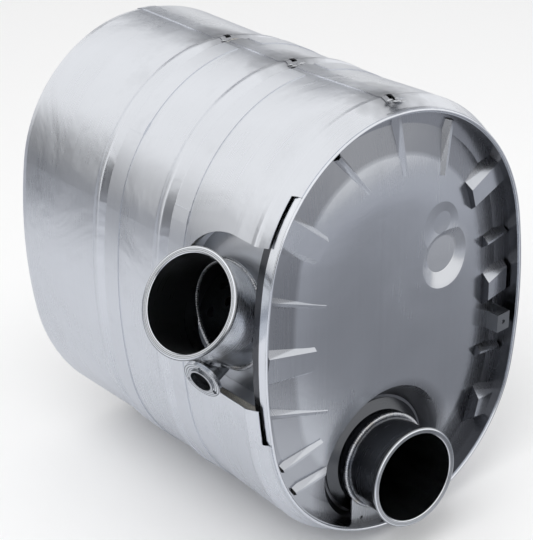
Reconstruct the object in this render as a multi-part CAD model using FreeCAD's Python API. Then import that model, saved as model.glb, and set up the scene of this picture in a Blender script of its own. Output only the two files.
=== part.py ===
import FreeCAD, Part
import math
import os

# All sizes are in millimetres. +Z is up, the front end cap faces -Y and the inlet is on the -X side.
# The origin is on the long axis of the body, halfway between its two lips.
# A station is a distance behind the front lip; a level is a distance out from the body's base outline.

# Body section: two shallow side crowns joined by four corner arcs, the same when turned half round
half_width = 237.0
half_height = 309.0
side_radius = 700.0
crown_shift = 34.0
side_shift = 37.0

# Lengths along the body
body_length = 506.0
front_joint = 180.0
rear_joint = 308.0
bead_pitch = 22.0
joint_lap = 10.0

# Sheets
skin_sheet = 1.2
shell_sheet = 1.5
cap_sheet = 1.8
seat_gap = 0.2

# Levels of the outer skin
front_land = 5.0
front_swell = 10.0
middle_land = 3.6
rear_land = 0.0
rear_lip_drop = 8.0
rear_roll = 8.0
groove_drop = 4.5
bead_rise = 3.4
bend_radius = 5.0

# Swell of the front skin behind the lip
swell_start = 28.0
swell_end = 60.0
swell_run = 90.0

# Joint bands over the two laps
band_width = 28.0
band_sheet = 1.0
band_lap_angle = 5.0
front_band_lap_at = 158.0
rear_band_lap_at = 136.0

# Lap seam along the top of the skin
seam_angle = 82.0
seam_port_turn = 2.3
seam_width_angle = 5.0
seam_clear_angle = 2.0
seam_port_length = 13.0
seam_port_width = 9.0

# Insulated gap and inner shell
insulation_gap = 22.0
blanket_clearance = 0.6

# End caps
cap_wall_level = -4.0
rear_wall_level = -12.5
cap_recess = 24.0
cap_step_level = -27.0
dome_level = -67.0
dome_foot = 15.0
dome_top = 6.0
dome_flat_level = -135.0
rear_cap_recess = 16.0
form_depth = 40.0
rim_nose = 3.0
rim_depth = 12.0

# Pressed ribs and pads of the front cap
rib_height = 7.0
pad_height = 9.0
rib_width = 4.0
rib_flank = 5.0
pad_flank = 8.0
rib_end_share = 0.8
rib_end_lift = 3.0
narrow_ribs = (
    ((-99.0, 266.0), (-55.0, 209.0)),
    ((3.0, 292.0), (10.0, 212.0)),
    ((101.0, 258.0), (81.0, 190.0)),
    ((222.0, 58.0), (172.0, 60.0)),
    ((222.0, -123.0), (170.0, -108.0)),
    ((-213.0, 108.0), (-128.0, 77.0)),
    ((-214.0, -53.0), (-122.0, -79.0)),
    ((-188.0, -146.0), (-128.0, -124.0)),
    ((-166.0, -191.0), (-100.0, -172.0)),
)
pad_width = 34.0
wide_pads = (
    ((-187.0, 197.0), (-135.0, 157.0)),
    ((-217.0, 15.0), (-146.0, 7.0)),
    ((214.0, 163.0), (137.0, 140.0)),
    ((226.0, -13.0), (178.0, -14.0)),
    ((222.0, -210.0), (168.0, -196.0)),
)

# Dish pressed into the dome
dish_x = 90.0
dish_z = 71.0
dish_radius = 45.0
dish_floor_radius = 26.0
dish_depth = 10.0
lobe_x = 84.0
lobe_z = 121.0
lobe_radius = 40.0
lobe_floor_radius = 16.0
lobe_depth = 5.0

# Exhaust pipes and their clamp flanges
pipe_radius = 63.5
pipe_wall = 1.5
flange_radius = 70.5
flange_thickness = 5.0
flange_cone = 7.0
flange_lip = 2.0
flange_round = 1.4
weld_leg = 3.6

# Outlet on the front cap
outlet_x = -9.0
outlet_z = -207.0
outlet_reach = 53.0
outlet_root = 24.0
outlet_lean_side = -4.8
outlet_lean_up = 5.2
outlet_dish_radius = 100.0
outlet_dish_depth = 34.0
outlet_dish_taper = 14.0
outlet_hole_gap = 1.0
outlet_joint_station = 50.0
outlet_inside = 34.0
outlet_joint_play = 2.0
outlet_tube_end = 452.0
collar_gap = 3.0
collar_sheet = 2.0
collar_top = 12.0
collar_foot_gap = 4.0
collar_shoulder = 9.0
outlet_weld_leg = 5.0

# Inlet in the window of the front skin
inlet_station = 90.0
inlet_x = -222.0
inlet_z = 70.0
inlet_angle = 147.5
inlet_lean = 6.0
inlet_reach = 78.0
inlet_inside = 30.0

# Doser flange below the inlet
doser_station = 96.3
doser_x = -213.4
doser_z = 7.6
doser_angle = 200.0
doser_lean = 9.0
doser_reach = 53.5
doser_inside = 12.0
doser_flange_radius = 28.0
doser_flange_thickness = 5.0
doser_pipe_radius = 17.0
doser_pipe_wall = 1.5
doser_lip_radius = 15.5
doser_lip_height = 2.5
doser_hole_radius = 3.3
doser_hole_circle = 22.0
doser_hole_count = 3

# Window in the front skin round the inlet and the doser
window_top_z = 188.0
window_bottom_z = -32.0
window_rear = 156.0
window_radius = 92.0
window_low_radius = 60.0
rim_cut_top_z = 246.0
rim_cut_bottom_z = -84.0
rim_cut_depth = 12.0
surround_sheet = 1.0

# Small brackets on the front cap
bracket_x = 221.0
bracket_z = -71.0
bracket_width = 24.0
bracket_height = 27.0
bracket_depth = 23.0
bracket_sheet = 2.5
bracket_hole_radius = 3.2
nut_radius = 5.5
nut_thickness = 4.0
gusset_left = -69.0
gusset_top = -228.0
gusset_station = 11.0
gusset_sheet = 2.5
gusset_corner = 9.0
gusset_hole_radius = 2.6
gusset_hole_x = -50.0
gusset_hole_z = -281.0

# Baffles, catalyst and pipes inside
front_baffle_station = 192.0
rear_baffle_station = 404.0
baffle_sheet = 1.5
baffle_flange = 14.0
can_radius = 164.0
can_x = -6.0
can_z = 90.0
can_sheet = 1.5
can_overhang = 12.0
mat_thickness = 6.0
mat_inset = 4.0
brick_length = 92.0
brick_gap = 12.0
mixer_radius = 66.5
mixer_wall = 1.5
mixer_length = 205.0
mixer_lap = 12.0
mixer_hole_radius = 7.0
mixer_rows = 5
mixer_holes_round = 10
baffle_port_radius = 26.0
baffle_ports = ((120.0, -120.0), (124.0, -186.0), (-128.0, -150.0))

front_y = -body_length / 2


def point(x, station, z):
    """A point from its side position, its station behind the front lip and its height."""
    return FreeCAD.Vector(x, front_y + station, z)


def polar(centre, reach, angle, station):
    """A point at a reach and an angle from a centre in the section plane."""
    return point(centre[0] + reach * math.cos(angle), station, centre[1] + reach * math.sin(angle))


def section_arcs():
    """Centre, radius, first and last angle of the six arcs, anticlockwise from the right-hand crown."""
    reach = side_radius - half_width
    high = half_height + side_shift
    low = half_height - side_shift
    large = (side_radius ** 2 - (reach - crown_shift) ** 2 - high ** 2) / (2 * (side_radius - high))
    small = (side_radius ** 2 - (reach + crown_shift) ** 2 - low ** 2) / (2 * (side_radius - low))
    large_turn = math.atan2(high - large, reach - crown_shift)
    small_turn = math.atan2(low - small, reach + crown_shift)
    half_turn = (
        ((-reach, -side_shift), side_radius, -small_turn, large_turn),
        ((-crown_shift, half_height - large), large, large_turn, math.pi / 2),
        ((-crown_shift, half_height - small), small, math.pi / 2, math.pi - small_turn),
    )
    turned = []
    for centre, radius, first, last in half_turn:
        turned.append(((-centre[0], -centre[1]), radius, first + math.pi, last + math.pi))
    return half_turn + tuple(turned)


def outline(level, station):
    """The section's closed outline at a level and a station."""
    edges = []
    for centre, radius, first, last in section_arcs():
        angles = (first, (first + last) / 2, last)
        ends = [polar(centre, radius + level, angle, station) for angle in angles]
        edges.append(Part.Arc(*ends).toShape())
    return Part.Wire(edges)


def slab(level, start, end):
    """A solid filling the section between two stations."""
    return Part.Face(outline(level, start)).extrude(FreeCAD.Vector(0, end - start, 0))


def rounded_line(corners, radius):
    """Pieces of a line through corners, each inner corner rounded: two ends, or three points of an arc."""
    pieces = []
    last = corners[0]
    for index in range(1, len(corners) - 1):
        before, here, after = (FreeCAD.Vector(*corners[index + step], 0) for step in (-1, 0, 1))
        back = before - here
        on = after - here
        turn = math.pi - back.getAngle(on)
        if turn < math.radians(1.0):
            continue
        room = 0.45 * min(back.Length, on.Length)
        cut = min(radius * math.tan(turn / 2), room)
        back.normalize()
        on.normalize()
        bend = cut / math.tan(turn / 2)
        inward = back + on
        inward.normalize()
        centre = here + inward * (bend / math.cos(turn / 2))
        middle = centre - inward * bend
        start = here + back * cut
        end = here + on * cut
        pieces.append((last, (start.x, start.y)))
        pieces.append(((start.x, start.y), (middle.x, middle.y), (end.x, end.y)))
        last = (end.x, end.y)
    pieces.append((last, corners[-1]))
    return pieces


def profile_face(pieces, centre, radius, angle):
    """A face in the plane through one arc's axis, from pieces whose points are (level, station)."""
    edges = []
    for piece in pieces:
        places = [polar(centre, radius + level, angle, station) for level, station in piece]
        edges.append(Part.Arc(*places).toShape() if len(places) == 3 else Part.LineSegment(*places).toShape())
    return Part.Face(Part.Wire(edges))


def sweep_sector(pieces, arc, first, last):
    """The profile turned about one arc's centre between two angles."""
    centre, radius = arc[0], arc[1]
    face = profile_face(pieces, centre, radius, first)
    axis_point = FreeCAD.Vector(centre[0], 0, centre[1])
    return face.revolve(axis_point, FreeCAD.Vector(0, -1, 0), math.degrees(last - first))


def joined(shapes):
    """One clean solid from several that touch or overlap."""
    first, *rest = shapes
    if not rest:
        return first
    return first.multiFuse(rest).removeSplitter()


def band(pieces):
    """A closed ring with the given profile, all the way round the section."""
    return joined([sweep_sector(pieces, arc, arc[2], arc[3]) for arc in section_arcs()])


def sheet_pieces(corners, thickness, radius):
    """Profile of a sheet: its outer line, and the same line moved in by the sheet's thickness."""
    inner = [(level - thickness, station) for level, station in corners]
    outer_line = rounded_line(corners, radius)
    inner_line = rounded_line(inner, radius)
    back = [tuple(reversed(piece)) for piece in reversed(inner_line)]
    return outer_line + [(corners[-1], inner[-1])] + back + [(inner[0], corners[0])]


def closed(corners):
    """The straight pieces of a closed outline through its corners."""
    return [(corners[index], corners[(index + 1) % len(corners)]) for index in range(len(corners))]


def box_pieces(low, high, start, end):
    """Profile of a plain flat ring."""
    return closed(((low, start), (high, start), (high, end), (low, end)))


def sheet_band(corners, thickness, radius=bend_radius):
    """A sheet ring from the outer line of its profile."""
    return band(sheet_pieces(corners, thickness, radius))


def corner_arc(angle):
    """The arc of the section that holds a direction given in degrees."""
    turn = math.radians(angle)
    for arc in section_arcs():
        if arc[2] <= turn < arc[3]:
            return arc
    raise ValueError("no arc holds this direction")


def lapped(sheet, corners, thickness, angle, width_angle):
    """The sheet with its end lapped over itself at one direction of the section."""
    over = [(level + thickness, station) for level, station in corners]
    arc = corner_arc(angle)
    start = math.radians(angle)
    end = math.radians(angle + width_angle)
    lap = sweep_sector(sheet_pieces(over, thickness, bend_radius), arc, start, end)
    return joined([sheet, lap])


def front_skin_line():
    """Outer line of the front skin from its lip to its rear edge."""
    return [
        (0.0, 0.0),
        (0.4, 5.0),
        (front_swell - 0.8, swell_start - 5.0),
        (front_swell + 1.0, swell_start),
        (front_swell, swell_start + 7.0),
        (front_swell - 0.5, swell_end),
        (front_land, swell_end + swell_run),
        (front_land, front_joint),
    ]


def bead_line(joint, land, tuck):
    """Outer line of a skin's front end: tucked edge, groove, raised bead, and back to its land."""
    return [
        (tuck, joint - joint_lap),
        (tuck, joint + 1.0),
        (land - groove_drop, joint + 5.0),
        (land - groove_drop, joint + 7.0),
        (land + bead_rise, joint + bead_pitch - 4.0),
        (land + bead_rise, joint + bead_pitch + 1.0),
        (land, joint + bead_pitch + 9.0),
    ]


def middle_skin_line():
    """Outer line of the middle skin."""
    tuck = front_land - skin_sheet - seat_gap
    return bead_line(front_joint, middle_land, tuck) + [(middle_land, rear_joint)]


def rear_skin_line():
    """Outer line of the rear skin, down to its lip at the rear."""
    tuck = middle_land - skin_sheet - seat_gap
    return bead_line(rear_joint, rear_land, tuck) + [
        (rear_land, body_length - 2 * rear_roll),
        (rear_land - rear_lip_drop / 3, body_length - rear_roll * 0.8),
        (rear_land - rear_lip_drop, body_length),
    ]


def seam_port(station, level):
    """A small opening through a raised bead where the lap seam crosses it."""
    arc = corner_arc(seam_angle)
    angle = math.radians(seam_angle + seam_port_turn)
    reach = arc[1] + level
    port = Part.makeBox(seam_port_width, seam_port_length, 16.0)
    port.translate(FreeCAD.Vector(-seam_port_width / 2, -seam_port_length / 2, -3.0))
    port.rotate(FreeCAD.Vector(0, 0, 0), FreeCAD.Vector(0, -1, 0), math.degrees(angle) - 90.0)
    port.translate(polar(arc[0], reach, angle, station))
    return port


def window_solid(grow):
    """The window's outline round the inlet and doser, run through the left side, larger by grow."""
    radius = window_radius + grow
    low_radius = window_low_radius + grow
    rear = window_rear + grow
    top = window_top_z + grow
    bottom = window_bottom_z - grow
    quarter = math.sqrt(0.5)
    high_centre = (rear - radius, top - radius)
    low_centre = (rear - low_radius, bottom + low_radius)
    side = -half_width - 60.0
    front = -40.0

    def place(station, z):
        return point(side, station, z)

    def bend(centre, size, sign):
        ends = ((0, size), (size * quarter, size * quarter), (size, 0))
        return [place(centre[0] + along, centre[1] + sign * rise) for along, rise in ends]

    high = bend(high_centre, radius, 1)
    low = bend(low_centre, low_radius, -1)
    edges = [
        Part.LineSegment(place(front, top), high[0]).toShape(),
        Part.Arc(*high).toShape(),
        Part.LineSegment(high[2], low[2]).toShape(),
        Part.Arc(*reversed(low)).toShape(),
        Part.LineSegment(low[0], place(front, bottom)).toShape(),
        Part.LineSegment(place(front, bottom), place(front, top)).toShape(),
    ]
    return Part.Face(Part.Wire(edges)).extrude(FreeCAD.Vector(140.0, 0, 0))


def rim_cut():
    """The stretch on the left side where the skin's folded lip is cut away beside the cap."""
    height = rim_cut_top_z - rim_cut_bottom_z
    cut = Part.makeBox(half_width, rim_cut_depth + 2.0, height)
    cut.translate(point(-half_width - 40.0, -2.0, rim_cut_bottom_z))
    keep = slab(cap_wall_level + 0.1, -10.0, rim_cut_depth + 10.0)
    return cut.cut(keep)


def make_outer_skin_front():
    corners = front_skin_line()
    skin = sheet_band(corners, skin_sheet)
    skin = lapped(skin, corners, skin_sheet, seam_angle, seam_width_angle)
    skin = skin.cut(seam_port(swell_start - 3.0, front_swell))
    return skin.cut(window_solid(0.0)).cut(rim_cut())


def make_outer_skin_middle():
    corners = middle_skin_line()
    skin = sheet_band(corners, skin_sheet, bend_radius)
    skin = lapped(skin, corners[2:], skin_sheet, seam_angle, seam_width_angle)
    return skin.cut(seam_port(front_joint + bead_pitch, middle_land))


def make_outer_skin_rear():
    corners = rear_skin_line()
    skin = sheet_band(corners, skin_sheet, bend_radius)
    skin = lapped(skin, corners[2:], skin_sheet, seam_angle, seam_width_angle)
    return skin.cut(seam_port(rear_joint + bead_pitch, rear_land))


def joint_band(joint, land, lap_at):
    """A thin strip closed round the body over a lap, its ends lapped at one place."""
    level = land + band_sheet
    corners = [(level, joint - band_width), (level, joint)]
    strip = sheet_band(corners, band_sheet)
    strip = lapped(strip, corners, band_sheet, lap_at, band_lap_angle)
    around = box_pieces(level - 4.0, level + 4.0, joint - band_width - 1.0, joint + 1.0)
    first = math.radians(seam_angle - seam_clear_angle)
    last = math.radians(seam_angle + seam_width_angle + seam_clear_angle)
    return strip.cut(sweep_sector(around, corner_arc(seam_angle), first, last))


def make_front_joint_band():
    return joint_band(front_joint, front_land, front_band_lap_at)


def make_rear_joint_band():
    return joint_band(rear_joint, middle_land, rear_band_lap_at)


def pipe_frame(shape, origin, direction):
    """Carries a shape built up +Z from zero to a place and direction."""
    turn = FreeCAD.Rotation(FreeCAD.Vector(0, 0, 1), direction)
    moved = shape.copy()
    moved.Placement = FreeCAD.Placement(origin, turn).multiply(shape.Placement)
    return moved


def tilted(angle, lean):
    """A unit vector at an angle in the section plane, leaning to the front."""
    turn = math.radians(angle)
    slope = math.radians(lean)
    flat = math.cos(slope)
    return FreeCAD.Vector(math.cos(turn) * flat, -math.sin(slope), math.sin(turn) * flat)


def inlet_direction():
    return tilted(inlet_angle, inlet_lean)


def inlet_root():
    return point(inlet_x, inlet_station, inlet_z)


def doser_direction():
    return tilted(doser_angle, doser_lean)


def doser_root():
    return point(doser_x, doser_station, doser_z)


def outlet_direction():
    side = math.tan(math.radians(outlet_lean_side))
    rise = math.tan(math.radians(outlet_lean_up))
    direction = FreeCAD.Vector(side, -1.0, rise)
    direction.normalize()
    return direction


def outlet_centre():
    return point(outlet_x, outlet_root, outlet_z)


def tube(radius, wall, start, end):
    """A straight tube about +Z."""
    body = Part.makeCylinder(radius, end - start, FreeCAD.Vector(0, 0, start))
    bore = Part.makeCylinder(radius - wall, end - start + 2.0, FreeCAD.Vector(0, 0, start - 1.0))
    return body.cut(bore)


def inlet_rod(radius, start, end):
    """A round bar on the inlet's axis between two distances from its root."""
    rod = Part.makeCylinder(radius, end - start, FreeCAD.Vector(0, 0, start))
    return pipe_frame(rod, inlet_root(), inlet_direction())


def doser_rod(radius, start, end):
    """A round bar on the doser's axis between two distances from its root."""
    rod = Part.makeCylinder(radius, end - start, FreeCAD.Vector(0, 0, start))
    return pipe_frame(rod, doser_root(), doser_direction())


def outlet_rod(radius, start, end):
    """A round bar on the outlet's axis between two distances from its root."""
    rod = Part.makeCylinder(radius, end - start, FreeCAD.Vector(0, 0, start))
    return pipe_frame(rod, outlet_centre(), outlet_direction())


def shell_level():
    """Level of the inner shell's outer face."""
    return -insulation_gap - skin_sheet


def shell_start():
    return cap_recess + cap_sheet


def shell_end():
    return body_length - rear_cap_recess - cap_sheet


def make_inner_shell():
    corners = [(shell_level(), shell_start()), (shell_level(), shell_end())]
    shell = sheet_band(corners, shell_sheet)
    shell = shell.cut(inlet_rod(pipe_radius + seat_gap, -2 * inlet_inside, inlet_reach))
    return shell.cut(outlet_well(cap_sheet + seat_gap))


def make_insulation_blanket():
    lowest = min(rear_land, middle_land) - groove_drop - skin_sheet
    pieces = box_pieces(
        shell_level() + blanket_clearance,
        lowest - blanket_clearance,
        shell_start() + blanket_clearance,
        shell_end() - blanket_clearance,
    )
    blanket = band(pieces).cut(window_solid(surround_sheet + blanket_clearance))
    return blanket.cut(outlet_well(cap_sheet + blanket_clearance))


def make_window_surround():
    """The wall from the window's edge in the skin down to the inner shell."""
    wall = window_solid(surround_sheet).cut(window_solid(0.0))
    ring = slab(-skin_sheet - 1.0, shell_start() + blanket_clearance, window_rear + 20.0)
    return wall.common(ring).cut(slab(shell_level() + seat_gap, 0.0, body_length))


def trapezoid(centre, across, width, flank, foot_drop, height, rise):
    """A closed four-sided section: wide foot behind the face, narrow top in front of it."""
    half_top = width / 2
    half_foot = half_top + flank * (height + foot_drop) / height
    places = ((-half_foot, -foot_drop), (half_foot, -foot_drop), (half_top, height), (-half_top, height))
    corners = []
    for side, out in places:
        corners.append(FreeCAD.Vector(centre.x + across.x * side, rise - out, centre.z + across.z * side))
    return Part.makePolygon(corners + corners[:1])


def pressed_bar(outer, inner, width, flank, height, grow):
    """One pressed rib or pad, from the cap's wall to the dome; grow moves its faces back for the inside."""
    start = FreeCAD.Vector(outer[0], 0, outer[1])
    end = FreeCAD.Vector(inner[0], 0, inner[1])
    run = end - start
    run.normalize()
    across = FreeCAD.Vector(-run.z, 0, run.x)
    end = end - run * grow
    foot = 12.0
    first_face = front_y + cap_recess + grow
    last_face = front_y + dome_foot - rib_end_lift + grow
    top = width - grow
    end_height = height * rib_end_share
    near = trapezoid(start, across, top, flank, foot, height, first_face)
    far = trapezoid(end, across, top * rib_end_share, flank * rib_end_share, foot, end_height, last_face)
    return Part.makeLoft([near, far], True, True)


def cone_cut(x, z, wide, narrow, start, end):
    """A cone-shaped hollow that narrows towards the back, run out in front to clear the cap."""
    slope = (wide - narrow) / (end - start)
    front = start - 40.0
    mouth = wide + slope * (start - front)
    return Part.makeCone(mouth, narrow, end - front, point(x, front, z), FreeCAD.Vector(0, 1, 0))


def dome_pieces(grow, back):
    """Profile of the cap's margin: flat step, slope up to the dome's foot, and its rounded shoulder."""
    step = (cap_step_level, cap_recess + grow)
    foot = (dome_level, dome_foot + grow)
    flat = (dome_flat_level, dome_top + grow)
    bulge = (dome_foot - dome_top) * 0.26
    middle = ((foot[0] + flat[0]) / 2, (foot[1] + flat[1]) / 2 - bulge)
    start = (cap_wall_level, cap_recess + grow)
    return [
        (start, step),
        (step, foot),
        (foot, middle, flat),
        (flat, (dome_flat_level, back)),
        ((dome_flat_level, back), (cap_wall_level, back)),
        ((cap_wall_level, back), start),
    ]


def outlet_well(grow):
    """The round well pressed in about the outlet's axis, its walls and floor moved out by grow."""
    mouth = outlet_root - dome_foot
    floor = outlet_root - outlet_dish_depth
    slope = outlet_dish_taper / (mouth - floor)
    front = outlet_root + outlet_reach
    low_radius = outlet_dish_radius - outlet_dish_taper + grow / 2
    high_radius = low_radius + slope * (front - floor)
    cone = Part.makeCone(low_radius, high_radius, front - floor, FreeCAD.Vector(0, 0, floor - grow))
    return pipe_frame(cone, outlet_centre(), outlet_direction())


def cap_form(grow):
    """A solid whose front is the front cap's face, moved back by grow."""
    back = cap_recess + form_depth
    margin = band(dome_pieces(grow, back))
    core = slab(dome_flat_level, dome_top + grow, back)
    bars = [pressed_bar(*ends, rib_width, rib_flank, rib_height, grow) for ends in narrow_ribs]
    bars += [pressed_bar(*ends, pad_width, pad_flank, pad_height, grow) for ends in wide_pads]
    limit = slab(cap_wall_level, -5.0, back)
    form = joined([margin, core] + [bar.common(limit) for bar in bars])
    face = dome_top + grow
    dish = cone_cut(dish_x, dish_z, dish_radius, dish_floor_radius, face, face + dish_depth)
    lobe = cone_cut(lobe_x, lobe_z, lobe_radius, lobe_floor_radius, face, face + lobe_depth)
    well = outlet_well(grow).common(slab(cap_wall_level - cap_sheet + grow, -outlet_reach, back))
    return form.cut(dish).cut(lobe).cut(well)


def make_front_end_cap():
    face = cap_form(0.0).cut(cap_form(cap_sheet))
    wall = sheet_band([(cap_wall_level, 0.0), (cap_wall_level, cap_recess + cap_sheet)], cap_sheet)
    cap = joined([face, wall])
    cap = cap.cut(outlet_rod(pipe_radius + outlet_hole_gap, -outlet_reach, outlet_reach))
    return largest(cap.cut(inlet_rod(pipe_radius + seat_gap, -inlet_inside, inlet_reach)))


def largest(shape):
    """The main solid of a shape, without loose scraps that a cut can leave."""
    return max(shape.Solids, key=lambda solid: solid.Volume)


def rim_ring(edge_station, direction):
    """A rounded nose ring between the skin's edge and the cap's wall."""
    low = cap_wall_level
    high = -skin_sheet
    middle = (low + high) / 2
    nose = edge_station - direction * rim_nose
    back = edge_station + direction * rim_depth
    pieces = [
        ((low, edge_station), (middle, nose), (high, edge_station)),
        ((high, edge_station), (high, back)),
        ((high, back), (low, back)),
        ((low, back), (low, edge_station)),
    ]
    return band(pieces)


def make_front_rim():
    return rim_ring(0.0, 1.0)


def make_rear_rim():
    low = rear_wall_level
    high = rear_land - rear_lip_drop - skin_sheet
    middle = (low + high) / 2
    start = body_length - 3.0
    pieces = [
        ((low, start), (high, start)),
        ((high, start), (high, body_length)),
        ((high, body_length), (middle, body_length + 1.2), (low, body_length)),
        ((low, body_length), (low, start)),
    ]
    return band(pieces)


def make_rear_end_cap():
    """A plain pressed cap: recessed margin, sloped step and flat middle, open towards the body."""
    face = body_length - rear_cap_recess
    wall_inner = rear_wall_level - cap_sheet
    step = dome_level + 12.0
    raised = body_length - 4.0
    outer = [
        (rear_wall_level, body_length),
        (rear_wall_level, face - cap_sheet),
        (cap_step_level, face - cap_sheet),
        (step, raised - cap_sheet),
        (dome_level - 20.0, raised - cap_sheet),
        (dome_level - 20.0, raised),
        (step, raised),
        (cap_step_level, face),
        (wall_inner, face),
        (wall_inner, body_length),
    ]
    return joined([band(closed(outer)), slab(dome_level - 19.0, raised - cap_sheet, raised)])


def pipe_flange():
    """A clamp flange about +Z with its flat face at zero and its cone behind."""
    inner = pipe_radius + seat_gap
    corners = (
        (pipe_radius - pipe_wall, -flange_round),
        (pipe_radius - pipe_wall + flange_round, 0.0),
        (flange_radius - 2 * flange_round, 0.0),
        (flange_radius, -flange_round),
        (flange_radius, -flange_thickness * 0.4),
        (flange_radius - flange_thickness * 0.6, -flange_thickness),
        (inner + 1.6, -flange_thickness - flange_cone),
        (inner, -flange_thickness - flange_cone),
        (inner, -flange_lip),
        (pipe_radius - pipe_wall, -flange_lip),
    )
    wire = Part.makePolygon([FreeCAD.Vector(reach, 0, height) for reach, height in corners + corners[:1]])
    return Part.Face(wire).revolve(FreeCAD.Vector(0, 0, 0), FreeCAD.Vector(0, 0, 1), 360)


def make_inlet_pipe():
    body = tube(pipe_radius, pipe_wall, -inlet_inside, inlet_reach - flange_lip)
    placed = pipe_frame(body, inlet_root(), inlet_direction())
    return placed.cut(doser_rod(doser_pipe_radius - doser_pipe_wall, 0.0, doser_reach))


def make_inlet_flange():
    return pipe_frame(pipe_flange(), inlet_root() + inlet_direction() * inlet_reach, inlet_direction())


def make_inlet_weld():
    """A weld bead that fills the corner between the inlet pipe and the inner shell."""
    layer = band(box_pieces(shell_level(), shell_level() + weld_leg, shell_start(), window_rear + 60.0))
    bead = layer.common(inlet_rod(pipe_radius + weld_leg, -inlet_inside, inlet_reach))
    bead = bead.cut(inlet_rod(pipe_radius, -2 * inlet_inside, 2 * inlet_reach))
    bead = bead.cut(doser_rod(doser_pipe_radius, -inlet_inside, doser_reach))
    return largest(bead.common(window_solid(-seat_gap)))


def make_outlet_pipe():
    body = tube(pipe_radius, pipe_wall, -outlet_inside, outlet_root + outlet_reach - flange_lip)
    return pipe_frame(body, outlet_centre(), outlet_direction())


def make_outlet_flange():
    reach = outlet_root + outlet_reach
    return pipe_frame(pipe_flange(), outlet_centre() + outlet_direction() * reach, outlet_direction())


def outlet_ring(pieces):
    """A ring about the outlet's axis from the pieces of its profile, given as (radius, distance)."""
    edges = []
    for piece in pieces:
        places = [FreeCAD.Vector(reach, 0, along) for reach, along in piece]
        edges.append(Part.Arc(*places).toShape() if len(places) == 3 else Part.LineSegment(*places).toShape())
    ring = Part.Face(Part.Wire(edges)).revolve(FreeCAD.Vector(0, 0, 0), FreeCAD.Vector(0, 0, 1), 360)
    return pipe_frame(ring, outlet_centre(), outlet_direction())


def make_outlet_collar():
    """The neck ring that stands on the well's floor round the outlet pipe."""
    inner = pipe_radius + collar_gap
    outer = inner + collar_sheet
    low = outlet_root - outlet_dish_depth
    foot = outlet_dish_radius - outlet_dish_taper - collar_foot_gap
    corners = (
        (inner, low),
        (foot, low),
        (foot, low + collar_sheet),
        (outer, low + collar_shoulder),
        (outer, collar_top),
        (inner, collar_top),
    )
    return outlet_ring(closed(corners))


def make_outlet_weld():
    """A weld bead that fills the end of the neck ring round the outlet pipe."""
    outer = pipe_radius + collar_gap + collar_sheet
    top = collar_top + outlet_weld_leg
    middle = ((pipe_radius + outer) / 2 + 1.0, collar_top + outlet_weld_leg / 2 + 1.0)
    return outlet_ring([
        ((pipe_radius, top), (pipe_radius, collar_top)),
        ((pipe_radius, collar_top), (outer, collar_top)),
        ((outer, collar_top), middle, (pipe_radius, top)),
    ])


def make_doser_pipe():
    """The doser's short pipe, its foot cut away where it stands against the inlet pipe."""
    body = tube(doser_pipe_radius, doser_pipe_wall, -doser_inside, doser_reach - doser_flange_thickness)
    placed = pipe_frame(body, doser_root(), doser_direction())
    placed = placed.cut(inlet_rod(pipe_radius, -inlet_inside, inlet_reach))
    mixer_start = -inlet_inside + mixer_lap
    return largest(placed.cut(inlet_rod(mixer_radius + seat_gap, -mixer_length, mixer_start)))


def make_doser_flange():
    """A round plate with a raised lip round its bore and a ring of screw holes."""
    start = doser_reach - doser_flange_thickness
    plate = Part.makeCylinder(doser_flange_radius, doser_flange_thickness, FreeCAD.Vector(0, 0, start))
    lip = Part.makeCylinder(doser_lip_radius + 2.5, doser_lip_height, FreeCAD.Vector(0, 0, doser_reach))
    bore = Part.makeCylinder(doser_lip_radius, 2 * doser_reach, FreeCAD.Vector(0, 0, 0))
    flange = joined([plate, lip]).cut(bore)
    for index in range(doser_hole_count):
        angle = 2 * math.pi * index / doser_hole_count
        across = doser_hole_circle * math.cos(angle)
        up = doser_hole_circle * math.sin(angle)
        at = FreeCAD.Vector(across, up, start - 1.0)
        flange = flange.cut(Part.makeCylinder(doser_hole_radius, doser_flange_thickness + 2.0, at))
    return pipe_frame(flange, doser_root(), doser_direction())


def make_doser_weld():
    """The weld bead round the doser's pipe where it stands on the inlet pipe."""
    bead = inlet_rod(pipe_radius + weld_leg, weld_leg - inlet_inside + mixer_lap, inlet_reach / 2)
    bead = bead.common(doser_rod(doser_pipe_radius + weld_leg, 0.0, doser_reach))
    bead = bead.cut(inlet_rod(pipe_radius, -inlet_inside, inlet_reach))
    bead = bead.cut(doser_rod(doser_pipe_radius, -doser_inside, doser_reach))
    return largest(bead.cut(slab(shell_level() + weld_leg + seat_gap, 0.0, body_length)))


def bracket_hole_point(station):
    return point(bracket_x - bracket_width / 2, station, bracket_z)


def make_side_bracket():
    """A small folded clip standing on the cap's margin, with a hole in its front leaf."""
    outer = Part.makeBox(bracket_width, bracket_depth, bracket_height)
    hollow = Part.makeBox(bracket_width - 2 * bracket_sheet, bracket_depth, bracket_height)
    hollow.translate(FreeCAD.Vector(bracket_sheet, bracket_sheet, 0))
    clip = outer.cut(hollow)
    front = cap_recess - bracket_depth
    clip.translate(point(bracket_x - bracket_width, front, bracket_z - bracket_height / 2))
    clip = clip.cut(band(dome_pieces(0.0, cap_recess + form_depth)))
    along = FreeCAD.Vector(0, 1, 0)
    return clip.cut(Part.makeCylinder(bracket_hole_radius, bracket_depth / 2, bracket_hole_point(0.0), along))


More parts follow.
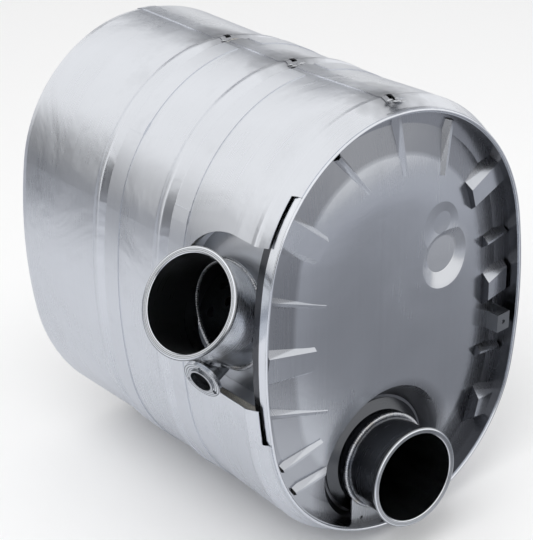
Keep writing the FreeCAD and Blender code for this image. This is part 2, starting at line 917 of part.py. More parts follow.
def make_bracket_nut():
    """A six-sided nut behind the bracket's front leaf."""
    corners = []
    for index in range(7):
        angle = math.pi / 3 * index
        corners.append(FreeCAD.Vector(nut_radius * math.cos(angle), 0, nut_radius * math.sin(angle)))
    nut = Part.Face(Part.makePolygon(corners)).extrude(FreeCAD.Vector(0, nut_thickness, 0))
    start = FreeCAD.Vector(0, 0, 0)
    along = FreeCAD.Vector(0, 1, 0)
    nut = nut.cut(Part.makeCylinder(bracket_hole_radius, nut_thickness, start, along))
    nut.translate(bracket_hole_point(cap_recess - bracket_depth + bracket_sheet))
    return nut


def make_outlet_gusset():
    """A flat tab between the outlet's neck ring and the cap's lower wall, with one hole."""
    corners = (
        (outlet_x, gusset_top),
        (gusset_left + gusset_corner, gusset_top),
        (gusset_left, gusset_top - gusset_corner),
        (gusset_left, -half_height),
        (outlet_x, -half_height),
    )
    places = [point(x, gusset_station, z) for x, z in corners + corners[:1]]
    along = FreeCAD.Vector(0, 1, 0)
    tab = Part.Face(Part.makePolygon(places)).extrude(along * gusset_sheet)
    tab = tab.common(slab(cap_wall_level - cap_sheet, 0.0, cap_recess))
    tab = tab.cut(outlet_rod(pipe_radius + collar_gap + collar_sheet + seat_gap, -outlet_reach, outlet_reach))
    at = point(gusset_hole_x, gusset_station - 1.0, gusset_hole_z)
    return largest(tab.cut(Part.makeCylinder(gusset_hole_radius, 2 * gusset_sheet, at, along)))


def outlet_axis_point(station):
    """Where the outlet's own axis crosses a station."""
    direction = outlet_direction()
    return outlet_centre() + direction * ((outlet_root - station) / -direction.y)


def tube_solid(radius):
    """A round bar where the outlet tube runs."""
    start = outlet_axis_point(outlet_joint_station)
    return Part.makeCylinder(radius, outlet_tube_end - outlet_joint_station, start, FreeCAD.Vector(0, 1, 0))


def outlet_tube_bore():
    """Bore of the tube that the outlet pipe's rear end slips into."""
    return pipe_radius + outlet_joint_play


def baffle(station):
    """A flanged plate across the inner shell, open for the can and the outlet's tube."""
    level = shell_level() - shell_sheet - seat_gap
    plate = slab(level, station, station + baffle_sheet)
    rim = sheet_band([(level, station), (level, station + baffle_flange)], baffle_sheet)
    plate = joined([plate, rim])
    along = FreeCAD.Vector(0, 1, 0)
    at = point(can_x, station - baffle_flange, can_z)
    can_hole = Part.makeCylinder(can_radius + seat_gap, 4 * baffle_flange, at, along)
    tube_hole = tube_solid(outlet_tube_bore() + pipe_wall + seat_gap)
    return plate.cut(can_hole).cut(tube_hole)


def make_front_baffle():
    return baffle(front_baffle_station)


def make_rear_baffle():
    plate = baffle(rear_baffle_station)
    for x, z in baffle_ports:
        at = point(x, rear_baffle_station - baffle_sheet, z)
        port = Part.makeCylinder(baffle_port_radius, 3 * baffle_sheet, at, FreeCAD.Vector(0, 1, 0))
        plate = plate.cut(port)
    return plate


def can_tube(radius, wall, start, end):
    """A ring about the catalyst's axis between two stations."""
    at = point(can_x, start, can_z)
    along = FreeCAD.Vector(0, 1, 0)
    bore = Part.makeCylinder(radius - wall, end - start, at, along)
    return Part.makeCylinder(radius, end - start, at, along).cut(bore)


def can_start():
    return front_baffle_station - can_overhang


def can_end():
    return rear_baffle_station + baffle_sheet + can_overhang


def brick_start(index):
    """Front station of one catalyst brick; the bricks are centred in their can."""
    used = 2 * brick_length + brick_gap
    first = (can_start() + can_end() - used) / 2
    return first + index * (brick_length + brick_gap)


def make_catalyst_can():
    return can_tube(can_radius, can_sheet, can_start(), can_end())


def support_mat(index):
    start = brick_start(index)
    end = start + brick_length
    return can_tube(can_radius - can_sheet, mat_thickness, start + mat_inset, end - mat_inset)


def brick(index):
    radius = can_radius - can_sheet - mat_thickness
    at = point(can_x, brick_start(index), can_z)
    return Part.makeCylinder(radius, brick_length, at, FreeCAD.Vector(0, 1, 0))


def make_front_support_mat():
    return support_mat(0)


def make_rear_support_mat():
    return support_mat(1)


def make_front_catalyst_brick():
    return brick(0)


def make_rear_catalyst_brick():
    return brick(1)


def make_mixing_tube():
    """A perforated tube that carries on the inlet inside the front chamber, closed at its far end."""
    start = -inlet_inside
    body = tube(mixer_radius, mixer_wall, -mixer_length, start + mixer_lap)
    end_plate = Part.makeCylinder(mixer_radius - mixer_wall, mixer_wall, FreeCAD.Vector(0, 0, -mixer_length))
    seat = Part.makeCylinder(pipe_radius + seat_gap, mixer_lap, FreeCAD.Vector(0, 0, start))
    body = joined([body, end_plate]).cut(seat)
    pitch = (mixer_length + start) / (mixer_rows + 1)
    holes = []
    for row in range(mixer_rows):
        at = FreeCAD.Vector(0, 0, start - pitch * (row + 1))
        for index in range(mixer_holes_round):
            hole = Part.makeCylinder(mixer_hole_radius, 2 * mixer_radius, at, FreeCAD.Vector(1, 0, 0))
            turn = 360.0 / mixer_holes_round * (index + 0.5 * (row % 2))
            hole.rotate(FreeCAD.Vector(0, 0, 0), FreeCAD.Vector(0, 0, 1), turn)
            holes.append(hole)
    placed = pipe_frame(body.cut(Part.makeCompound(holes)), inlet_root(), inlet_direction())
    placed = placed.cut(doser_rod(doser_pipe_radius - doser_pipe_wall, -4 * doser_inside, doser_reach))
    level = shell_level() - shell_sheet - seat_gap
    return largest(placed.common(slab(level, cap_recess + 2 * cap_sheet, body_length)))


def make_outlet_tube():
    """The straight tube from the outlet pipe back through both baffles."""
    return tube_solid(outlet_tube_bore() + pipe_wall).cut(tube_solid(outlet_tube_bore()))


def export_all():
    """Writes one solid per piece, named after its function."""
    os.makedirs("parts", exist_ok=True)
    for name, maker in sorted(globals().items()):
        if name.startswith("make_") and callable(maker):
            shape = maker()
            shape.exportStep("parts/" + name[len("make_"):] + ".step")


export_all()
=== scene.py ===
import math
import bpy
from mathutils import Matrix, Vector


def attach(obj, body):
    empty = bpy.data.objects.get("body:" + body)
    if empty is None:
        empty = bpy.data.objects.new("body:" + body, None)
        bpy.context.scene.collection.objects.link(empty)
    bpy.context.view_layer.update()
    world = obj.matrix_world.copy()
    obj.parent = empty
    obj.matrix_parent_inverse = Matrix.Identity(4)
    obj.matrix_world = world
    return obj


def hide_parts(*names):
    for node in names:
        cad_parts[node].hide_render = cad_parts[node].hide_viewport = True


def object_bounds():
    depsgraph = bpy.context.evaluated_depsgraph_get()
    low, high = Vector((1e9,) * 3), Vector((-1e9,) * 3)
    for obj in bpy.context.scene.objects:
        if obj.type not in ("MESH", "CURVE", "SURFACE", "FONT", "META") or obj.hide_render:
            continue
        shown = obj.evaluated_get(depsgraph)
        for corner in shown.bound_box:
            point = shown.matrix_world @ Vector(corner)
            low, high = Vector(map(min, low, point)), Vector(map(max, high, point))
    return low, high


bl_info = {
    "name": "Muffler dressing",
    "version": (1, 0, 0),
    "blender": (4, 5, 0),
    "location": "View3D > Sidebar > Muffler",
    "description": "Finishes for the sheets, pipes, welds and inner pieces of an exhaust muffler",
    "category": "Object",
}

import bpy
import numpy as np
from mathutils import Vector

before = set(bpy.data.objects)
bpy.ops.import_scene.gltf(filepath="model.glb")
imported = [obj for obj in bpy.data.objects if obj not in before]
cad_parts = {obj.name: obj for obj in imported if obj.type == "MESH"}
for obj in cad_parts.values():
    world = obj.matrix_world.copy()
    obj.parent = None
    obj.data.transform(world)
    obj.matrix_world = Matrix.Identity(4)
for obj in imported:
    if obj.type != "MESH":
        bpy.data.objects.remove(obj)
CAD_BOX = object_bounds()

# Sizes of the body that welds and marks follow, in metres, as in the part's source
FRONT_Y = -0.253
HALF_WIDTH = 0.237
HALF_HEIGHT = 0.309
SIDE_RADIUS = 0.700
CROWN_SHIFT = 0.034
SIDE_SHIFT = 0.037
SHELL_LEVEL = -0.0232
PIPE_RADIUS = 0.0635

# Ports beside the lap seam on top: degrees round the body, and each port's level and station
SEAM_ANGLE = 82.0
PORT_TURN = 2.3
PORTS = ((0.010, 0.025), (0.0036, 0.202), (0.0, 0.330))
PORT_ANGLE = SEAM_ANGLE + PORT_TURN
# Lumps of weld metal beside each port: turn in degrees, rise, shift along the body, half sizes
PORT_BLOBS = (
    (-1.4, 0.0010, -0.0105, (0.0070, 0.0030, 0.0008)),
    (0.8, 0.0010, -0.0150, (0.0060, 0.0030, 0.0007)),
    (-0.2, 0.0010, -0.0200, (0.0050, 0.0026, 0.0008)),
    (2.0, 0.0010, -0.0085, (0.0044, 0.0024, 0.0008)),
)
BLOB_TURNS = 40
BLOB_RISES = 20
# Beads: steps along each, and the outlet bead's place on its pipe
BEAD_STEPS = 900
OUTLET_BEAD_RISE = 0.0132
OUTLET_BEAD_RADIUS = 0.0660

# Places on the front cap and the bracket that finishes, painted shade and a painted highlight follow
DISH_CENTRE = (0.090, FRONT_Y + 0.010, 0.072)
DISH_FLOOR_REACH = 0.0275
MARGIN_DEPTH = 0.0148
NUT_CENTRE = (0.209, FRONT_Y, -0.071)

# Grain of the sheets: how close the streaks lie along each axis
SKIN_GRAIN = (2.5, 700.0, 2.5)
BAND_GRAIN = (2.5, 900.0, 2.5)
CAP_GRAIN = (500.0, 3.0, 3.0)
INNER_GRAIN = (3.0, 300.0, 3.0)
FITTING_GRAIN = (300.0, 30.0, 30.0)
EVEN_GRAIN = (40.0, 40.0, 40.0)
TUBE_GRAIN = (60.0, 60.0, 60.0)

# Colours of stains and heat marks, and of the painted shade and painted highlight on the front cap
PORT_STAIN = (0.20, 0.205, 0.22)
# Painted shade and dark reflection round the outlet's well on the front cap
WELL_PAINTED_SHADE = (0.085, 0.088, 0.098)
# Painted shade in the front cap's recessed margin
MARGIN_PAINTED_SHADE = (0.22, 0.225, 0.245)
# Painted shade on the front cap's standing walls
WALL_PAINTED_SHADE = (0.07, 0.072, 0.08)
# Painted highlight on the front cap's dish
DISH_PAINTED_HIGHLIGHT = (0.82, 0.83, 0.85)
HEAT_STRAW = (0.47, 0.42, 0.34)
HEAT_BLUE = (0.30, 0.34, 0.44)

# Camera in metres and degrees, and how far the floor lies below the part
CAMERA_PLACE = (-1.5253, -1.6743, 1.1982)
CAMERA_TURN = -42.26
CAMERA_RISE = 28.17
FLOOR_GAP = 0.0005
WHITE = (1.0, 1.0, 1.0, 1.0)

SKINS = ("outer_skin_front", "outer_skin_middle", "outer_skin_rear")
BANDS = ("front_joint_band", "rear_joint_band")
RIMS = ("front_rim", "rear_rim")
INNER = ("front_baffle", "rear_baffle", "catalyst_can")
SEEN_INNER = ("inner_shell", "window_surround")
BRICKS = ("front_catalyst_brick", "rear_catalyst_brick")
FIBRES = ("insulation_blanket", "front_support_mat", "rear_support_mat")


class SteelSettings(bpy.types.PropertyGroup):
    """Colours and finish of the bare steel pieces."""

    skin_color: bpy.props.FloatVectorProperty(
        name="Skin",
        description="Colour of the outer skin",
        subtype="COLOR",
        size=3,
        default=(0.74, 0.76, 0.80),
    )
    cap_color: bpy.props.FloatVectorProperty(
        name="Caps",
        description="Colour of the pressed end caps",
        subtype="COLOR",
        size=3,
        default=(0.60, 0.62, 0.66),
    )
    pipe_color: bpy.props.FloatVectorProperty(
        name="Pipes",
        description="Colour of the pipes outside",
        subtype="COLOR",
        size=3,
        default=(0.60, 0.62, 0.65),
    )
    bore_color: bpy.props.FloatVectorProperty(
        name="Bores",
        description="Colour of the pipes' dull inside",
        subtype="COLOR",
        size=3,
        default=(0.20, 0.21, 0.22),
    )
    dark_color: bpy.props.FloatVectorProperty(
        name="Outlet",
        description="Colour of the outlet's pieces, darkened by heat",
        subtype="COLOR",
        size=3,
        default=(0.27, 0.28, 0.30),
    )
    flange_color: bpy.props.FloatVectorProperty(
        name="Flanges",
        description="Colour of the turned flanges",
        subtype="COLOR",
        size=3,
        default=(0.60, 0.62, 0.65),
    )
    weld_color: bpy.props.FloatVectorProperty(
        name="Welds",
        description="Colour of the weld beads",
        subtype="COLOR",
        size=3,
        default=(0.50, 0.51, 0.53),
    )
    inner_color: bpy.props.FloatVectorProperty(
        name="Inner sheets",
        description="Colour of the sheets inside",
        subtype="COLOR",
        size=3,
        default=(0.36, 0.37, 0.39),
    )
    skin_roughness: bpy.props.FloatProperty(
        name="Skin roughness",
        description="Blur of the skin's reflections",
        subtype="FACTOR",
        min=0.02,
        max=1.0,
        default=0.29,
    )
    cap_roughness: bpy.props.FloatProperty(
        name="Cap roughness",
        description="Blur of the caps' reflections",
        subtype="FACTOR",
        min=0.02,
        max=1.0,
        default=0.24,
    )


class WeldSettings(bpy.types.PropertyGroup):
    """Sizes of the rippled weld beads."""

    bead_radius: bpy.props.FloatProperty(
        name="Bead",
        description="Half the width of a bead",
        subtype="DISTANCE",
        unit="LENGTH",
        default=0.0034,
    )
    ripple_pitch: bpy.props.FloatProperty(
        name="Ripple pitch",
        description="Length of one ripple",
        subtype="DISTANCE",
        unit="LENGTH",
        default=0.0034,
    )
    ripple_depth: bpy.props.FloatProperty(
        name="Ripple depth",
        description="Share of the bead's width that a ripple takes",
        subtype="FACTOR",
        default=0.22,
    )


class FibreSettings(bpy.types.PropertyGroup):
    """Colours of the fibre and ceramic pieces inside."""

    fibre_color: bpy.props.FloatVectorProperty(
        name="Fibre",
        description="Colour of the blanket and mats",
        subtype="COLOR",
        size=3,
        default=(0.78, 0.76, 0.70),
    )
    brick_color: bpy.props.FloatVectorProperty(
        name="Brick",
        description="Colour of the catalyst's ceramic",
        subtype="COLOR",
        size=3,
        default=(0.52, 0.46, 0.37),
    )
    cell_size: bpy.props.FloatProperty(
        name="Cell",
        description="Width of one honeycomb cell",
        subtype="DISTANCE",
        unit="LENGTH",
        default=0.0016,
    )


class StageSettings(bpy.types.PropertyGroup):
    """Floor, lamps and camera."""

    floor_color: bpy.props.FloatVectorProperty(
        name="Floor",
        description="Colour of the floor",
        subtype="COLOR",
        size=3,
        default=(0.93, 0.93, 0.93),
    )
    card_color: bpy.props.FloatVectorProperty(
        name="Card",
        description="Colour of the grey cards that the metal mirrors",
        subtype="COLOR",
        size=3,
        default=(0.24, 0.248, 0.27),
    )
    dark_color: bpy.props.FloatVectorProperty(
        name="Dark card",
        description="Colour of the dark cards that line the edges of the metal",
        subtype="COLOR",
        size=3,
        default=(0.06, 0.062, 0.068),
    )
    near_color: bpy.props.FloatVectorProperty(
        name="Near card",
        description="Colour of the pale patch beside the body that its side mirrors",
        subtype="COLOR",
        size=3,
        default=(0.70, 0.71, 0.735),
    )
    key_power: bpy.props.FloatProperty(
        name="Key lamp", description="Power of the large soft lamp", unit="POWER", default=30.0
    )
    room_strength: bpy.props.FloatProperty(
        name="Room light", description="Strength of the even light from all round", default=0.85
    )
    focal_length: bpy.props.FloatProperty(
        name="Lens", description="Focal length for a 36 mm sensor, in millimetres", default=123.33
    )


def new_group(name, inputs, outputs):
    """An empty shader node group; a socket is given as name, type and, for inputs, default."""
    group = bpy.data.node_groups.new(name, "ShaderNodeTree")
    for label, kind, default in inputs:
        socket = group.interface.new_socket(name=label, in_out="INPUT", socket_type=kind)
        if default is not None:
            socket.default_value = default
    for label, kind in outputs:
        group.interface.new_socket(name=label, in_out="OUTPUT", socket_type=kind)
    start = group.nodes.new("NodeGroupInput")
    end = group.nodes.new("NodeGroupOutput")
    return group, start, end


def add(tree, kind, **settings):
    """A node of one kind with its properties set."""
    node = tree.nodes.new(kind)
    for key, value in settings.items():
        setattr(node, key, value)
    return node


def math_node(tree, operation, first, second=None, clamp=False):
    """A math node; each operand is a socket or a number."""
    node = add(tree, "ShaderNodeMath", operation=operation, use_clamp=clamp)
    for index, value in enumerate((first, second)):
        if value is None:
            continue
        if isinstance(value, (int, float)):
            node.inputs[index].default_value = value
        else:
            tree.links.new(value, node.inputs[index])
    return node.outputs[0]


def mix_color(tree, factor, first, second):
    """A colour blend; factor, first and second are sockets or values."""
    node = add(tree, "ShaderNodeMix", data_type="RGBA")
    for index, value in ((0, factor), (6, first), (7, second)):
        socket = node.inputs[index]
        if isinstance(value, (int, float)):
            socket.default_value = value
        elif isinstance(value, (tuple, list)):
            socket.default_value = tuple(value) + (1.0,) * (4 - len(value))
        else:
            tree.links.new(value, socket)
    return node.outputs[2]


def ramp(tree, value, low, high, start=0.0, end=1.0):
    """A value carried from the range low..high to start..end, held inside it."""
    node = add(tree, "ShaderNodeMapRange", clamp=True)
    tree.links.new(value, node.inputs[0])
    for index, number in enumerate((low, high, start, end)):
        node.inputs[index + 1].default_value = number
    return node.outputs[0]


def noise(tree, coordinates, scale, **settings):
    """A noise texture on a vector; settings set its other inputs by name."""
    node = add(tree, "ShaderNodeTexNoise")
    node.inputs["Scale"].default_value = scale
    for key, value in settings.items():
        node.inputs[key].default_value = value
    tree.links.new(coordinates, node.inputs["Vector"])
    return node.outputs[0]


def line_noise(tree, position, scale, detail):
    """Noise along one measure, such as the way along an axis or the reach from it."""
    node = add(tree, "ShaderNodeTexNoise", noise_dimensions="1D")
    node.inputs["Scale"].default_value = scale
    node.inputs["Detail"].default_value = detail
    tree.links.new(position, node.inputs["W"])
    return node.outputs[0]


def scaled_color(tree, color, factor):
    """A fixed colour times a socket's value."""
    node = add(tree, "ShaderNodeVectorMath", operation="SCALE")
    node.inputs[0].default_value = color
    tree.links.new(factor, node.inputs["Scale"])
    return node.outputs[0]


def reach_from(tree, coordinates, place):
    """Distance of each point from a place."""
    node = add(tree, "ShaderNodeVectorMath", operation="DISTANCE")
    node.inputs[1].default_value = tuple(place)
    tree.links.new(coordinates, node.inputs[0])
    return node.outputs["Value"]


def split_axes(tree, vector):
    """The X, Y and Z outputs of a vector."""
    node = add(tree, "ShaderNodeSeparateXYZ")
    tree.links.new(vector, node.inputs[0])
    return node.outputs


def sheet_group():
    """Rolled sheet: fine streaks and slow uneven patches, as tone, roughness and height.

    Streaks are noise on coordinates stretched by Grain; patches are slow noise at its own scale.
    """
    if "rolled_sheet" in bpy.data.node_groups:
        return bpy.data.node_groups["rolled_sheet"]
    group, start, end = new_group(
        "rolled_sheet",
        [
            ("Coordinates", "NodeSocketVector", None),
            ("Grain", "NodeSocketVector", (3.0, 900.0, 3.0)),
            ("Patches", "NodeSocketFloat", 7.0),
            ("Roughness", "NodeSocketFloat", 0.25),
            ("Streak", "NodeSocketFloat", 0.05),
        ],
        [(label, "NodeSocketFloat") for label in ("Tone", "Roughness", "Height")],
    )
    links = group.links
    stretch = add(group, "ShaderNodeVectorMath", operation="MULTIPLY")
    links.new(start.outputs["Coordinates"], stretch.inputs[0])
    links.new(start.outputs["Grain"], stretch.inputs[1])
    streaks = noise(group, stretch.outputs[0], 1.0, Detail=3.0)
    patches = add(group, "ShaderNodeTexNoise")
    patches.inputs["Detail"].default_value = 4.0
    patches.inputs["Distortion"].default_value = 0.6
    links.new(start.outputs["Coordinates"], patches.inputs["Vector"])
    links.new(start.outputs["Patches"], patches.inputs["Scale"])
    around = math_node(group, "SUBTRACT", streaks, 0.5)
    spread = math_node(group, "MULTIPLY", around, start.outputs["Streak"])
    slow = math_node(group, "SUBTRACT", patches.outputs[0], 0.5)
    slow_tone = math_node(group, "MULTIPLY", slow, 0.22)
    tone = math_node(group, "ADD", math_node(group, "ADD", spread, slow_tone), 1.0)
    rough_step = math_node(group, "MULTIPLY", slow, 0.16)
    rough_fine = math_node(group, "MULTIPLY", around, 0.10)
    uneven = math_node(group, "ADD", rough_step, rough_fine)
    rough = math_node(group, "ADD", start.outputs["Roughness"], uneven, clamp=True)
    fine_height = math_node(group, "MULTIPLY", streaks, 0.02)
    height = math_node(group, "ADD", fine_height, patches.outputs[0])
    links.new(tone, end.inputs["Tone"])
    links.new(rough, end.inputs["Roughness"])
    links.new(height, end.inputs["Height"])
    return group


def smudge_group():
    """Handling marks: sparse soft blotches and a few fine scratches, as a mask from 0 to 1."""
    if "handling_marks" in bpy.data.node_groups:
        return bpy.data.node_groups["handling_marks"]
    group, start, end = new_group(
        "handling_marks",
        [
            ("Coordinates", "NodeSocketVector", None),
            ("Scale", "NodeSocketFloat", 16.0),
            ("Amount", "NodeSocketFloat", 0.5),
        ],
        [("Mask", "NodeSocketFloat")],
    )
    links = group.links
    blotch = add(group, "ShaderNodeTexNoise")
    blotch.inputs["Detail"].default_value = 5.0
    blotch.inputs["Roughness"].default_value = 0.62
    links.new(start.outputs["Coordinates"], blotch.inputs["Vector"])
    links.new(start.outputs["Scale"], blotch.inputs["Scale"])
    spots = ramp(group, blotch.outputs[0], 0.58, 0.74)
    turned = add(group, "ShaderNodeMapping")
    turned.inputs["Rotation"].default_value = (0.4, 0.9, 0.3)
    turned.inputs["Scale"].default_value = (6.0, 160.0, 6.0)
    links.new(start.outputs["Coordinates"], turned.inputs["Vector"])
    lines = noise(group, turned.outputs[0], 1.6)
    scratches = ramp(group, lines, 0.70, 0.74, 0.0, 0.5)
    both = math_node(group, "MAXIMUM", spots, scratches)
    mask = math_node(group, "MULTIPLY", both, start.outputs["Amount"], clamp=True)
    links.new(mask, end.inputs["Mask"])
    return group


def bore_group():
    """A bore's mask, the way along its axis and the reach from the axis.

    The axis goes through Centre along Axis; the mask is 1 where the reach is less than Radius.
    """
    if "bore_mask" in bpy.data.node_groups:
        return bpy.data.node_groups["bore_mask"]
    group, start, end = new_group(
        "bore_mask",
        [
            ("Coordinates", "NodeSocketVector", None),
            ("Centre", "NodeSocketVector", (0.0, 0.0, 0.0)),
            ("Axis", "NodeSocketVector", (0.0, 0.0, 1.0)),
            ("Radius", "NodeSocketFloat", 0.0627),
        ],
        [(label, "NodeSocketFloat") for label in ("Mask", "Along", "Reach")],
    )
    links = group.links
    offset = add(group, "ShaderNodeVectorMath", operation="SUBTRACT")
    links.new(start.outputs["Coordinates"], offset.inputs[0])
    links.new(start.outputs["Centre"], offset.inputs[1])
    along = add(group, "ShaderNodeVectorMath", operation="DOT_PRODUCT")
    links.new(offset.outputs[0], along.inputs[0])
    links.new(start.outputs["Axis"], along.inputs[1])
    carried = add(group, "ShaderNodeVectorMath", operation="SCALE")
    links.new(start.outputs["Axis"], carried.inputs[0])
    links.new(along.outputs["Value"], carried.inputs["Scale"])
    across = add(group, "ShaderNodeVectorMath", operation="SUBTRACT")
    links.new(offset.outputs[0], across.inputs[0])
    links.new(carried.outputs[0], across.inputs[1])
    length = add(group, "ShaderNodeVectorMath", operation="LENGTH")
    links.new(across.outputs[0], length.inputs[0])
    inside = math_node(group, "LESS_THAN", length.outputs["Value"], start.outputs["Radius"])
    links.new(inside, end.inputs["Mask"])
    links.new(along.outputs["Value"], end.inputs["Along"])
    links.new(length.outputs["Value"], end.inputs["Reach"])
    return group


def placed_group(tree, group, coordinates, **values):
    """A group node's outputs in a material; values set its inputs by name."""
    node = add(tree, "ShaderNodeGroup", node_tree=group)
    for key, value in values.items():
        node.inputs[key].default_value = value
    tree.links.new(coordinates, node.inputs["Coordinates"])
    return node.outputs


def texture_outputs(tree):
    """The outputs of a material's texture coordinates."""
    return next(node for node in tree.nodes if node.bl_idname == "ShaderNodeTexCoord").outputs


def new_material(name):
    """A material with its Principled shader and Object coordinates."""
    material = bpy.data.materials.new(name)
    material.use_nodes = True
    tree = material.node_tree
    shader = tree.nodes["Principled BSDF"]
    coordinates = add(tree, "ShaderNodeTexCoord").outputs["Object"]
    return material, tree, shader, coordinates


def add_bump(tree, shader, height, distance, strength=1.0):
    """Feeds a height of 0 to 1, worth distance in metres, to the shader's normal."""
    bump = add(tree, "ShaderNodeBump")
    bump.inputs["Distance"].default_value = distance
    bump.inputs["Strength"].default_value = strength
    tree.links.new(height, bump.inputs["Height"])
    tree.links.new(bump.outputs[0], shader.inputs["Normal"])


def stain_mask(tree, coordinates, places, small, large):
    """A mask that is 1 within small of any place and fades to 0 at large, its edge ragged."""
    ragged = noise(tree, coordinates, 34.0, Detail=5.0)
    edge = math_node(tree, "MULTIPLY", math_node(tree, "SUBTRACT", ragged, 0.5), large)
    mask = None
    for place in places:
        uneven = math_node(tree, "ADD", reach_from(tree, coordinates, place), edge)
        spot = ramp(tree, uneven, small, large, 1.0, 0.0)
        mask = spot if mask is None else math_node(tree, "MAXIMUM", mask, spot)
    return mask


def add_stain_and_painted_light(tree, shader, mask, color, roughness):
    """Blends the shader's colour towards a given colour, for real stains and for painted shade and
    highlights, and adds to its roughness.
    """
    base, rough = shader.inputs["Base Color"], shader.inputs["Roughness"]
    before, gloss = base.links[0].from_socket, rough.links[0].from_socket
    tree.links.new(mix_color(tree, mask, before, color), base)
    step = math_node(tree, "MULTIPLY", mask, roughness)
    tree.links.new(math_node(tree, "ADD", gloss, step, clamp=True), rough)


def sheet_material(name, color, roughness, grain, wave, marks):
    """Rolled or pressed bare steel: streaked tone, uneven gloss, slow waves and handling marks."""
    material, tree, shader, coordinates = new_material(name)
    sheet = placed_group(
        tree, sheet_group(), coordinates, Grain=grain, Roughness=roughness, Streak=0.06
    )
    smudge = placed_group(tree, smudge_group(), coordinates, Amount=marks)["Mask"]
    tone = scaled_color(tree, color, sheet["Tone"])
    darker = tuple(0.62 * part for part in color)
    tree.links.new(mix_color(tree, smudge, tone, darker), shader.inputs["Base Color"])
    dull = math_node(tree, "MULTIPLY", smudge, 0.25)
    rough = math_node(tree, "ADD", sheet["Roughness"], dull, clamp=True)
    tree.links.new(rough, shader.inputs["Roughness"])
    shader.inputs["Metallic"].default_value = 1.0
    add_bump(tree, shader, sheet["Height"], wave)
    return material


def pipe_material(name, color, bore_tone, centre, axis, dulling=0.08):
    """Drawn tube with rings of fine streaks outside, and a dull darker bore."""
    material, tree, shader, coordinates = new_material(name)
    sheet = placed_group(
        tree, sheet_group(), coordinates, Grain=TUBE_GRAIN, Roughness=0.24, Streak=0.05
    )
    bore = placed_group(tree, bore_group(), coordinates, Centre=centre, Axis=axis)
    rings = line_noise(tree, bore["Along"], 420.0, 3.0)
    outside = scaled_color(tree, color, sheet["Tone"])
    # The bore is coloured darker than the outside
    tree.links.new(mix_color(tree, bore["Mask"], outside, bore_tone), shader.inputs["Base Color"])
    fine = math_node(tree, "SUBTRACT", math_node(tree, "MULTIPLY", rings, 0.16), 0.08)
    rough = math_node(tree, "ADD", sheet["Roughness"], fine)
    duller = math_node(tree, "MULTIPLY", bore["Mask"], dulling)
    tree.links.new(math_node(tree, "ADD", rough, duller, clamp=True), shader.inputs["Roughness"])
    shader.inputs["Metallic"].default_value = 1.0
    add_bump(tree, shader, rings, 0.0002, 0.25)
    return material


def turned_material(name, color, centre, axis):
    """Lathe-turned steel: close rings about the axis in tone, gloss and height."""
    material, tree, shader, coordinates = new_material(name)
    bore = placed_group(tree, bore_group(), coordinates, Centre=centre, Axis=axis)
    sheet = placed_group(
        tree, sheet_group(), coordinates, Grain=EVEN_GRAIN, Roughness=0.17, Streak=0.04
    )
    rings = line_noise(tree, bore["Along"], 1500.0, 2.0)
    circles = line_noise(tree, bore["Reach"], 620.0, 2.0)
    lines = ramp(tree, circles, 0.38, 0.62, 0.45, 1.35)
    tone = scaled_color(tree, color, math_node(tree, "MULTIPLY", sheet["Tone"], lines))
    tree.links.new(tone, shader.inputs["Base Color"])
    fine = math_node(tree, "MULTIPLY", rings, 0.10)
    rough = math_node(tree, "ADD", sheet["Roughness"], fine, clamp=True)
    tree.links.new(rough, shader.inputs["Roughness"])
    shader.inputs["Metallic"].default_value = 1.0
    add_bump(tree, shader, rings, 0.0001, 0.3)
    return material


def matt_material(name, color, roughness=0.9):
    """An even matt finish for the floor and the cards."""
    material, tree, shader, coordinates = new_material(name)
    shader.inputs["Base Color"].default_value = tuple(color) + (1.0,)
    shader.inputs["Roughness"].default_value = roughness
    return material, tree, shader, coordinates


def weld_material(color):
    """Weld metal: dull and bright flecks with a little straw and blue heat colour."""
    material, tree, shader, coordinates = new_material("weld_metal")
    flecks = noise(tree, coordinates, 260.0, Detail=4.0)
    slow = noise(tree, coordinates, 40.0)
    bright = tuple(min(1.0, 1.35 * part) for part in color)
    base = mix_color(tree, ramp(tree, flecks, 0.38, 0.64), color, bright)
    straw = mix_color(tree, ramp(tree, slow, 0.55, 0.7, 0.0, 0.5), base, HEAT_STRAW)
    blue = mix_color(tree, ramp(tree, slow, 0.42, 0.3, 0.0, 0.4), straw, HEAT_BLUE)
    tree.links.new(blue, shader.inputs["Base Color"])
    tree.links.new(ramp(tree, flecks, 0.3, 0.7, 0.22, 0.42), shader.inputs["Roughness"])
    shader.inputs["Metallic"].default_value = 1.0
    add_bump(tree, shader, flecks, 0.0006, 0.5)
    return material


def fibre_material(color):
    """Matted mineral fibre: crossed fine threads, with painted shade in the hollows."""
    material, tree, shader, coordinates = new_material("matted_fibre")
    threads = noise(tree, coordinates, 220.0, Detail=6.0, Distortion=2.2)
    dark = tuple(0.6 * part for part in color)
    blend = mix_color(tree, ramp(tree, threads, 0.35, 0.62), dark, color)
    tree.links.new(blend, shader.inputs["Base Color"])
    shader.inputs["Roughness"].default_value = 0.95
    shader.inputs["Sheen Weight"].default_value = 0.15
    add_bump(tree, shader, threads, 0.0015, 0.8)
    return material


